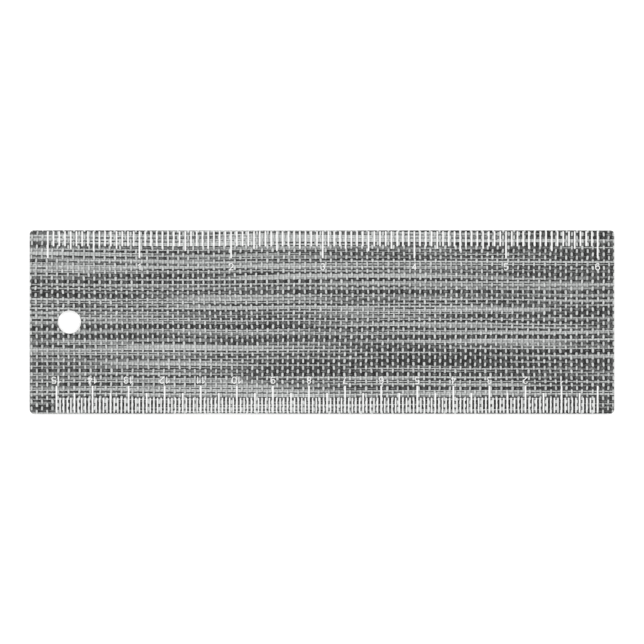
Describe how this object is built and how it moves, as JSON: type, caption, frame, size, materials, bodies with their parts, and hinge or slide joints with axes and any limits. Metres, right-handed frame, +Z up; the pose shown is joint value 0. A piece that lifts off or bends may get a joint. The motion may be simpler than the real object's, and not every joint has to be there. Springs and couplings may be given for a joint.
{
  "type": "steel ruler",
  "caption": "Thin flat ruler with a woven-pattern face, an inch scale on one edge, a metric scale on the other and a hanging hole.",
  "frame": {"origin": "middle of the underside, where the ruler rests", "axes": "+X along the length from the hanging hole's end towards the inch scale's high end, +Y across the width towards the inch edge, +Z up out of the printed face"},
  "size_m": [0.162, 0.0508, 0.0012],
  "materials": {
    "steel": "brushed lengthwise, bare on the underside, the edges and in the hole",
    "base_coat": "matt white coat, seen only as a thin line at the edges",
    "weave_print": "satin film printed with a grey plain weave: light warp threads over streaky dark and light weft rows",
    "scale_ink": "opaque satin white ink, slightly raised"
  },
  "bodies": {
    "root": {"steel_blade": "steel", "white_base_coat": "base_coat", "weave_print_film": "weave_print", "inch_marks_whole": "scale_ink", "inch_marks_half": "scale_ink", "inch_marks_quarter": "scale_ink", "inch_marks_eighth": "scale_ink", "inch_marks_sixteenth": "scale_ink", "inch_numerals": "scale_ink", "metric_marks_centimetre": "scale_ink", "metric_marks_half_centimetre": "scale_ink", "metric_marks_millimetre": "scale_ink", "metric_numerals": "scale_ink"}
  },
  "joints": []
}
